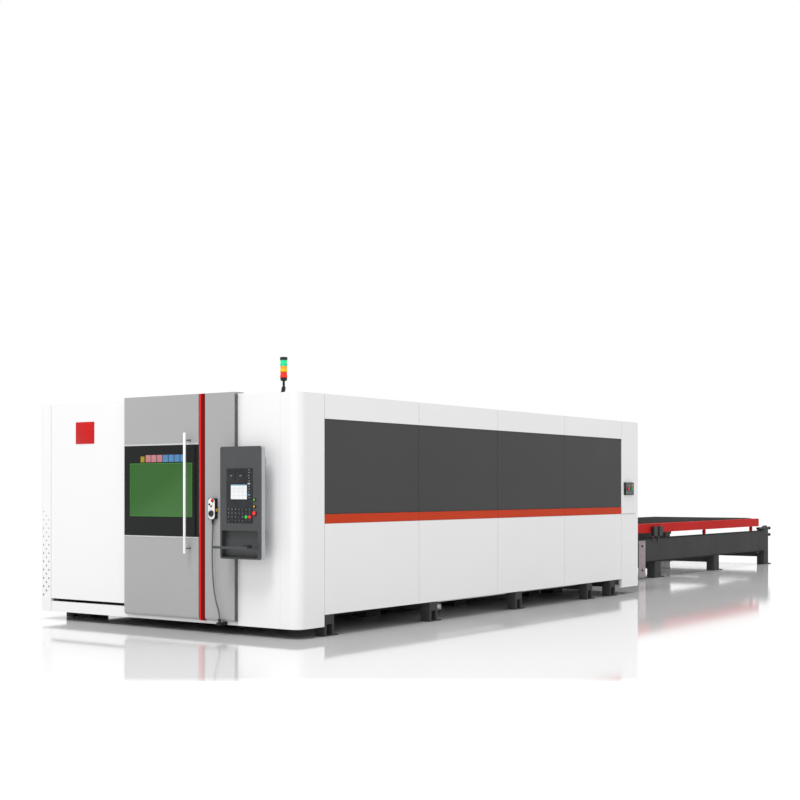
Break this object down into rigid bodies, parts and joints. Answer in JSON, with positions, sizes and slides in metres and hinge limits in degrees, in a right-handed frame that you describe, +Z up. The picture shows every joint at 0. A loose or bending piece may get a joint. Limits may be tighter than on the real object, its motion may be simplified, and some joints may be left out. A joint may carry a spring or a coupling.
{
  "type": "fiber laser cutting machine",
  "caption": "Enclosed fiber laser cutting machine: a cabin with a sliding operator's door, a console and a gantry cutting head, and a two-level pallet changer behind it.",
  "frame": {"origin": "on the floor under the middle of the machine's outline", "axes": "+Z up, the operator's side with the door and console faces -Y, the pallet changer lies towards +Y, the long side with the stop station is +X"},
  "size_m": [3.7623, 15.884, 2.704],
  "materials": {
    "white_paint": "white powder coat, satin",
    "grey_paint": "grey powder coat, satin",
    "dark_panel": "dark grey panel, satin",
    "stripe_paint": "orange-red lacquer, satin",
    "red_paint": "red lacquer, satin",
    "black_acrylic": "black acrylic sheet, polished",
    "laser_glass": "green laser protection glass",
    "screen_glass": "display glass",
    "console_plate": "dark grey powder coat",
    "keypad": "black keypad film",
    "black_plastic": "black moulded plastic",
    "white_plastic": "white moulded plastic",
    "grey_plastic": "grey cable jacket",
    "green_plastic": "green button cap",
    "yellow_plastic": "yellow button cap",
    "red_plastic": "red button cap",
    "lens": "clear coloured lenses: red below, amber, green above",
    "frame_paint": "dark grey machine paint",
    "bright_steel": "ground steel",
    "zinc": "zinc-plated sheet",
    "slat_steel": "hot-rolled sheet",
    "handle_paint": "white powder-coated tube",
    "motor_paint": "black machine paint"
  },
  "bodies": {
    "base": {"cabin_frame": "frame_paint", "left_column": "white_paint", "right_column": "white_paint", "front_panels": "white_paint", "fixed_front_panel": "grey_paint", "red_strip": "red_paint", "door_rail": "bright_steel", "side_lower_panels": "white_paint", "side_stripes": "stripe_paint", "side_windows": "dark_panel", "side_headers": "white_paint", "rear_panels": "white_paint", "roof_panels": "white_paint", "console_shell": "console_plate", "console_face": "console_plate", "console_keypad": "keypad", "console_screen": "screen_glass", "hand_control": "white_plastic", "hand_control_cable": "grey_plastic", "cable_gland": "black_plastic", "tower_body": "black_plastic", "tower_lenses": "lens", "side_station": "black_plastic", "machine_bed": "frame_paint", "pedestals": "frame_paint", "gantry_rails": "bright_steel", "electrical_cabinet": "grey_paint", "laser_source": "white_paint", "changer_frame": "frame_paint", "end_stops": "black_plastic", "link_plates": "zinc", "sensor_housings": "black_plastic", "drive_motor": "motor_paint"},
    "operator_door": {"operator_door": "grey_paint", "door_band": "black_acrylic", "laser_glass": "laser_glass", "door_handle": "handle_paint"},
    "door_roller_left": {"door_roller_left": "bright_steel"},
    "door_roller_right": {"door_roller_right": "bright_steel"},
    "gantry": {"gantry_beam": "white_paint", "gantry_carriages": "frame_paint"},
    "cross_carriage": {"cross_carriage": "frame_paint"},
    "cutting_head": {"head_slide": "bright_steel", "cutting_head": "bright_steel"},
    "upper_pallet": {"upper_pallet_frame": "red_paint", "upper_pallet_slats": "slat_steel"},
    "pallet_lift": {"lift_rails": "frame_paint"},
    "lower_pallet": {"lower_pallet_frame": "red_paint", "lower_pallet_slats": "slat_steel"},
    "drive_shaft": {"drive_shaft": "bright_steel"},
    "folding_tray": {"folding_tray": "console_plate", "pointing_device": "black_plastic"},
    "start_button": {"start_button": "green_plastic"},
    "pause_button": {"pause_button": "yellow_plastic"},
    "stop_button": {"stop_button": "red_plastic"},
    "hand_stop_button": {"hand_stop_button": "red_plastic"},
    "hand_key": {"hand_key": "yellow_plastic"},
    "hand_dial": {"hand_dial": "black_plastic"},
    "station_start_button": {"station_start_button": "green_plastic"},
    "station_stop_button": {"station_stop_button": "red_plastic"}
  },
  "joints": [
    {"name": "door_slide", "type": "slide", "parent": "base", "child": "operator_door", "axis": [-1, 0, 0], "range_m": [0, 1]},
    {"name": "door_roller_left_spin", "type": "hinge", "parent": "operator_door", "child": "door_roller_left", "pos_m": [-0.239, -7.521, 2.2753], "axis": [0, 1, 0], "continuous": true},
    {"name": "door_roller_right_spin", "type": "hinge", "parent": "operator_door", "child": "door_roller_right", "pos_m": [0.419, -7.521, 2.2753], "axis": [0, 1, 0], "continuous": true},
    {"name": "gantry_travel", "type": "slide", "parent": "base", "child": "gantry", "axis": [0, 1, 0], "range_m": [0, 5.6]},
    {"name": "cross_travel", "type": "slide", "parent": "gantry", "child": "cross_carriage", "axis": [1, 0, 0], "range_m": [0, 1.8]},
    {"name": "head_travel", "type": "slide", "parent": "cross_carriage", "child": "cutting_head", "axis": [0, 0, -1], "range_m": [0, 0.12]},
    {"name": "pallet_change", "type": "slide", "parent": "base", "child": "upper_pallet", "axis": [0, -1, 0], "range_m": [0, 8.08]},
    {"name": "lift_rise", "type": "slide", "parent": "base", "child": "pallet_lift", "axis": [0, 0, 1], "range_m": [0, 0.255]},
    {"name": "lower_pallet_change", "type": "slide", "parent": "pallet_lift", "child": "lower_pallet", "axis": [0, 1, 0], "range_m": [0, 8.08]},
    {"name": "drive_shaft_spin", "type": "hinge", "parent": "base", "child": "drive_shaft", "pos_m": [-0.33, 7.397, 0.32], "axis": [1, 0, 0], "continuous": true},
    {"name": "tray_fold", "type": "hinge", "parent": "base", "child": "folding_tray", "pos_m": [1.302, -7.775, 0.865], "axis": [-1, 0, 0], "range_deg": [0, 90]},
    {"name": "start_press", "type": "slide", "parent": "base", "child": "start_button", "axis": [0, 1, 0], "range_m": [0, 0.004], "stiffness_N_per_m": 400},
    {"name": "pause_press", "type": "slide", "parent": "base", "child": "pause_button", "axis": [0, 1, 0], "range_m": [0, 0.004], "stiffness_N_per_m": 400},
    {"name": "stop_press", "type": "slide", "parent": "base", "child": "stop_button", "axis": [0, 1, 0], "range_m": [0, 0.006]},
    {"name": "hand_stop_press", "type": "slide", "parent": "base", "child": "hand_stop_button", "axis": [0, 1, 0], "range_m": [0, 0.004]},
    {"name": "hand_key_press", "type": "slide", "parent": "base", "child": "hand_key", "axis": [-1, 0, 0], "range_m": [0, 0.004], "stiffness_N_per_m": 400},
    {"name": "hand_dial_turn", "type": "hinge", "parent": "base", "child": "hand_dial", "pos_m": [0.831, -7.671, 1.186], "axis": [0, 1, 0], "continuous": true},
    {"name": "station_start_press", "type": "slide", "parent": "base", "child": "station_start_button", "axis": [-1, 0, 0], "range_m": [0, 0.004], "stiffness_N_per_m": 400},
    {"name": "station_stop_press", "type": "slide", "parent": "base", "child": "station_stop_button", "axis": [-1, 0, 0], "range_m": [0, 0.004]}
  ],
  "couplings": [
    {"joint": "door_roller_left_spin", "follows": "door_slide", "rad_per_m": -28.571},
    {"joint": "door_roller_right_spin", "follows": "door_slide", "rad_per_m": -28.571},
    {"joint": "lower_pallet_change", "follows": "pallet_change", "ratio": 1},
    {"joint": "drive_shaft_spin", "follows": "pallet_change", "rad_per_m": 16.667}
  ]
}
